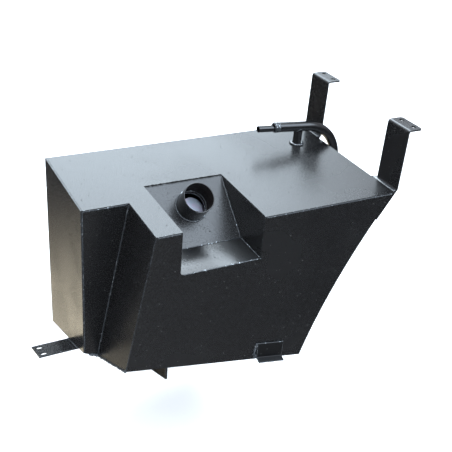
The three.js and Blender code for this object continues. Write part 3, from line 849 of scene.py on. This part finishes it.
def make_breather():
    low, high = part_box("breather_stub")
    stub = mm((low + high) / 2)
    turn = math.atan(PIPE["fall"])
    along = Vector((math.cos(turn), 0, -math.sin(turn)))
    rise = Vector((math.sin(turn), 0, math.cos(turn)))
    tee = at(stub.x, stub.y, PIPE["height"])

    start = tee + along * (SPIGOT["end"] + PIPE_GAP) * MM
    bm = bmesh.new()
    add_pipe(bm, cross_pipe_path(start, stub, turn), PIPE["radius"], PIPE["bore"], BACKWARDS)
    mesh = finish_mesh("breather_cross_pipe", bm)
    pipe = new_piece("breather_cross_pipe", mesh, "tank", "black_paint", [PIPE_PAINT], "breather_pipe")
    soften(pipe, TUBE_ANGLE)

    radius, bore, foot = STUB["radius"], STUB["bore"], STUB["foot"]
    top = PIPE["height"] - PIPE["radius"] + STUB["into_pipe"]
    outline = [(bore, foot), (radius, foot), (radius, top), (bore, top)]
    turned_piece("breather_upright", outline, at(stub.x, stub.y, 0), UP, [PIPE_PAINT], "breather_stub")

    radius, bore, edge, bore_edge = (SPIGOT[k] for k in ("radius", "bore", "edge", "bore_edge"))
    start, end = SPIGOT["start"], SPIGOT["end"]
    outline = [(bore, end), (bore, start + bore_edge), (bore + edge, start)]
    outline += [(radius - edge, start), (radius, start + edge), (radius, end)]
    spigot_place = tee - rise * SPIGOT["below"] * MM
    turned_piece("breather_spigot", outline, spigot_place, along, [PIPE_PAINT], "breather_reducer")
    turned_piece("breather_joint_weld", JOINT_SWELL, tee, along, [WELD_HIGHLIGHT_AND_WEAR_PAINT], "breather_joint_bead",
                 wobble=JOINT_WOBBLE)

    saddle = (saddle_path(stub), SADDLE_RADIUS, UP, {"closed": True, "rough": 1.2})
    welds("breather_saddle_weld", [saddle])
    ring = circle(at(stub.x, stub.y, COLLAR_UP), UP, STUB["radius"] + COLLAR_OUT, COLLAR_POINTS)
    collar = (ring, COLLAR_RADIUS, UP, {"closed": True, "pitch": 4.2, "rough": 1.5, "flat": 0.6})
    welds("breather_collar_weld", [collar], ["breather_weld_collar"], LEDGE_HIGHLIGHT_PAINT)


# ------------------------------------------------------------------ seam welds

# A bead's place follows from the sheets' edges. The small numbers beside them set it in the corner it fills,
# or start and end it a little short or long. Each bead is (path, radius, up, settings), in millimetres.

SEAM = 2.65  # the joint line's distance in from an outer corner: a sheet and its gap
TOP = -3  # where upright beads start, below the top plate
FINE = {"pitch": 1.7, "flat": 0.6}
THIN = {"pitch": 1.9}
EVEN = {"pitch": 2.4}
LONG = {"pitch": 2.6}
WIDE = {"pitch": 6.0}
ROUGH = {"rough": 1.8}

END_FOOT = (401.0, -335.0)  # X and Z of the right end at the front plate's lower edge
END_HOLLOW = 14.8  # how far its line bows in, halfway
END_STEPS = 24
END_GAP = 1.0  # left above the floor


def end_point(t):
    """The right end's line, from the top plate (t = 0) to the front plate's lower edge (t = 1)."""
    return LENGTH - (LENGTH - END_FOOT[0]) * t - 4 * END_HOLLOW * t * (1 - t), END_FOOT[1] * t


def end_line(y):
    """The right end's edge at a given y, down to the floor."""
    path = []
    while True:
        x, z = end_point(len(path) / END_STEPS)
        if z < floor_z(x, y) + END_GAP:
            return path
        path.append(at(x, y, z))


def step_beads(foot_back, foot_front):
    """The seams of the narrow front and the step beside it."""
    outward = Vector((-1, 0, STEP_LEAN)).normalized()
    inner = line((STEP_X - 0.6, -0.6, TOP), (foot_back[0] - 0.6, -0.6, foot_back[2] + 1))
    outer = line((STEP_X - 0.2, FRONT + 0.5, TOP), (foot_front[0] - 0.2, FRONT + 0.5, foot_front[2]))
    return [
        (line((SEAM, -0.1, TOP), (SEAM, -0.1, floor_z(SEAM, 0))), 1.0, BACKWARDS, {"pitch": 5.0, **ROUGH}),
        (inner, 1.0, -BACKWARDS, THIN),
        (outer, 0.6, outward, FINE),
        (line((3, -0.1, -SEAM), (STEP_X - 1, -0.1, -SEAM)), 0.8, BACKWARDS, FINE),
        (line((STEP_X, -1, -SEAM), (STEP_X, FRONT + 3, -SEAM)), 0.7, outward, FINE),
        (line(foot_back, foot_front), 1.9, outward, {"pitch": 3.3, "rough": 2.0}),
    ]


def heavy_beads(foot_back):
    """The thick fillets at the foot of the narrow front and in the recess's right-hand corner."""
    foot_x, foot_z = foot_back[0], foot_back[2]
    right, front, fold, depth = RECESS_RIGHT, FRONT, RECESS_FOLD, RECESS_DEPTH
    return [
        (line((10, -0.6, floor_z(10, 0)), (foot_x, -0.6, foot_z + 0.6)), 2.3, -BACKWARDS,
         {"pitch": 3.5, **ROUGH}),
        (line((foot_x - 5, -1.4, foot_z + 3), (foot_x - 1, -3.5, foot_z + 1)), 2.3, -BACKWARDS,
         {"pitch": 3.0, **ROUGH}),
        (line((right - 3, fold + 1, -depth + 1.4), (right - 0.5, fold - 2, -depth + 1.2)), 2.2, UP, ROUGH),
        (line((right - 2.5, front + 1, -depth + 0.6), (right + 0.5, front, -depth + 0.2)), 2.0, UP, ROUGH),
    ]


def recess_beads():
    """The seams round the recess: its cheeks, its front edge, its fold and the front ends of its cheeks."""
    left, right, front = RECESS_LEFT, RECESS_RIGHT, FRONT
    fold, depth = RECESS_FOLD, RECESS_DEPTH
    beads = []
    for inner in (right - 0.7, left + 0.7):
        panel = line((inner, RECESS_BACK - 1, -1.5), (inner, fold, -depth + 1))
        shelf = line((inner, fold, -depth + 0.7), (inner, front + 4, -depth + 0.7))
        beads += [(panel, 1.3, UP, {"pitch": 7.0, **ROUGH}), (shelf, 1.0, UP, LONG)]
    edge_z = -depth + 0.2
    beads += [
        (line((left + 6, front + 1.2, edge_z), (right - 3, front + 1.2, edge_z)), 0.8, UP, FINE),
        (line((left + 1, fold, -depth + 0.5), (right - 1, fold, -depth + 0.5)), 0.9, UP, EVEN),
    ]
    for inner, outer in ((left + 0.5, left - 1.2), (right - 0.5, right + 1.2)):
        beads.append((line((inner, front + 0.4, -1.2), (outer, front, -0.8)), 1.2, UP, {"rough": 1.5}))
    return beads


def shell_beads(foot_front):
    """The long seams of the body: top front, lower front, right end, left end and its foot."""
    front, back = FRONT, BACK
    end_side = Vector((0.9, 0, -0.43))
    lower_front = line((foot_front[0], front + SEAM, foot_front[2]), (END_FOOT[0], front + SEAM, END_FOOT[1]))
    return [
        (line((STEP_X + 2, front, -SEAM), (RECESS_LEFT - 2, front, -SEAM)), 0.9, -BACKWARDS, WIDE),
        (line((RECESS_RIGHT + 2, front, -SEAM), (LENGTH - 4, front, -SEAM)), 0.9, -BACKWARDS, WIDE),
        (lower_front, 1.2, -UP, {"pitch": 2.8}),
        (end_line(front + SEAM), 1.3, end_side, LONG),
        (end_line(back - SEAM), 1.3, end_side, LONG),
        (line((SEAM, back + 0.1, TOP), (SEAM, back + 0.1, floor_z(SEAM, back))), 1.1, BACKWARDS, THIN),
        (line((3, back + 0.1, -SEAM), (LENGTH - 3, back + 0.1, -SEAM)), 1.0, BACKWARDS, THIN),
        (line((SEAM, 2, floor_z(SEAM, 2)), (SEAM, back - 3, floor_z(SEAM, back - 3))), 1.2, -UP, THIN),
    ]


def make_seams():
    foot_back, foot_front = step_foot(0), step_foot(FRONT)
    welds("step_welds", step_beads(foot_back, foot_front))
    welds("heavy_welds", heavy_beads(foot_back), material=HEAVY_WELD_HIGHLIGHT_AND_WEAR_PAINT)
    welds("recess_welds", recess_beads())
    # A black bead along the recess's back edge paints the shadow gap there.
    back_y = RECESS_BACK - 0.5
    back_edge = line((RECESS_LEFT - 0.5, back_y, -1.3), (RECESS_RIGHT + 0.3, back_y, -1.3))
    shadow_gap = (back_edge, 1.5, UP, {"pitch": 4.0, "rough": 1.3, "flat": 1.0})
    welds("recess_back_seam", [shadow_gap], material=SHADOW_GAP_BLACK)
    welds("shell_welds", shell_beads(foot_front))


# ------------------------------------------------------------------ bracket welds

LEDGE_UP = Vector((-0.3, 0, 1)).normalized()  # the fillet leans from the strap down to the top plate
LEDGE = {"pitch": 4.5, "flat": 0.34, "rough": 0.35, "sides": 14}
RAIL_BEADS = (8, 38, 68)  # where the rail's short beads start, from the front
RAIL_BEAD_LENGTH = 18


def strap_beads():
    """For the two straps: the ledges over the top plate's end, and a lump at each one's front corner."""
    ledges, corners = [], []
    for strap in ("front_hanger_strap", "rear_hanger_strap"):
        low, high = (mm(p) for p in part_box(strap))
        ledge = line((LENGTH + 3.4, low.y + 0.5, -0.8), (LENGTH + 3.4, high.y + 5.5, -0.8))
        ledges.append((ledge, 4.4, LEDGE_UP, LEDGE))
        corner = line((LENGTH + 1, low.y - 0.5, -2.6), (LENGTH + 3.5, low.y + 1.5, -2.2))
        corners.append((corner, 2.6, UP, {"rough": 1.5}))
    return ledges, corners


def tab_beads():
    """The front tab: a fillet bowed out round its left side, and a lump over its right side's bead."""
    low, high = (mm(p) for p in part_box("front_tab_bracket"))
    left, right, top = low.x, high.x, high.z
    face = FRONT - 0.8
    bowed = line((left - 0.5, face, top - 1), (left - 3.6, face, top - 12), (left - 4.4, face, top - 24),
                 (left - 0.5, face, top - 36))
    lump = line((right - 2.5, face - 1, top - 12.2), (right + 1, face, top - 13))
    side = line((right + 0.4, face, top - 14), (right + 0.4, face, top - 38))
    return [
        (bowed, 2.6, -BACKWARDS, {"pitch": 3.6, **ROUGH}),
        (lump, 2.3, -BACKWARDS, {"rough": 1.6}),
        (side, 1.0, -BACKWARDS, EVEN),
    ]


def strip_beads():
    """The left bracket: a bead along the tank's edge and a small one at its toe."""
    low, high = (mm(p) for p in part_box("left_mount_bracket"))
    near, far = low.y + 2, high.y - 2
    near_z, far_z = floor_z(0, near), floor_z(0, far)
    edge = line((-1.0, near, near_z - 0.9), (-1.0, far, far_z - 0.9))
    toe = line((-7.0, near, near_z - 1.6), (-7.0, far, far_z - 1.6))
    return [(edge, 1.4, UP, {"pitch": 2.8}), (toe, 0.7, UP, THIN)]


def rail_beads():
    """Short beads along the left toe of the rail under the floor."""
    toe = mm(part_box("floor_rail_bracket")[0]).x - 0.8
    beads = []
    for offset in RAIL_BEADS:
        start, end = FRONT + offset, FRONT + offset + RAIL_BEAD_LENGTH
        path = line((toe, start, floor_z(toe, start) - 0.8), (toe, end, floor_z(toe, end) - 0.8))
        beads.append((path, 2.2, -UP, {"pitch": 3.4, "rough": 1.4}))
    return beads


def make_bracket_welds():
    ledges, corners = strap_beads()
    welds("hanger_ledge_welds", ledges, material=LEDGE_HIGHLIGHT_PAINT)
    welds("bracket_welds", corners + tab_beads() + strip_beads() + rail_beads())


# ------------------------------------------------------------------ assembly

SHEETS = (
    "left_end_plate", "top_plate", "back_plate", "left_front_plate", "front_plate", "step_side_plate",
    "right_end_plate", "floor_plate", "neck_panel", "recess_shelf", "recess_left_cheek", "recess_right_cheek",
)
BARS = (
    "front_hanger_strap", "front_hanger_pad", "rear_hanger_strap", "rear_hanger_pad", "left_mount_bracket",
    "front_tab_bracket", "floor_rail_bracket",
)
# These take the darker coat that paints their shade, and wider bevels.
DULL_BARS = ("front_tab_bracket", "floor_rail_bracket")
SHEET_BEVEL, BAR_BEVEL, DULL_BAR_BEVEL = 0.5, 0.7, 1.1
STRAP_CORNER = 6.0
# Node, body, slot, bevel, material.
FITTINGS = (
    ("outlet_union", "tank", "brass", 0.35, BRASS),
    ("return_union", "tank", "brass", 0.35, BRASS),
    ("drain_boss", "tank", "black_paint", 0.6, PAINT),
    ("drain_washer", "drain_seal", "copper", 0.2, COPPER),
    ("drain_plug", "drain_screw", "zinc_plate", 0.35, ZINC),
)


def make_parts():
    """The sheets, bars and fittings: each a rounded copy of its CAD node."""
    for node in SHEETS:
        refined(node, SHEET_BEVEL, materials=[SHELF_PAINT, EDGE_HIGHLIGHT_AND_WEAR_PAINT] if node == "recess_shelf" else None)
    for node in BARS:
        if node in DULL_BARS:
            refined(node, DULL_BAR_BEVEL, 3, materials=[BRACKET_SHADE_PAINT, EDGE_HIGHLIGHT_AND_WEAR_PAINT])
        else:
            refined(node, BAR_BEVEL, corner=STRAP_CORNER if node.endswith("hanger_strap") else 0.0)
    for node, body, slot, bevel, material in FITTINGS:
        refined(node, bevel, body=body, slot=slot, materials=[material, material])


make_camera()
make_world()
make_floor(cad_box[0])
make_backdrop()
make_flag(*cad_box)
make_parts()
make_neck()
make_breather()
make_seams()
make_bracket_welds()

FINISHES = {
    "black_paint": PAINT, "bare_steel": STEEL, "zinc_plate": ZINC, "brass": BRASS, "copper": COPPER,
}

for part in frame["record"]["subparts"]:
    mesh = NODES[part["node"]].data
    mesh.materials.clear()
    mesh.materials.append(FINISHES[part["material_slot"]])

bpy.context.scene.view_settings.view_transform = "Standard"
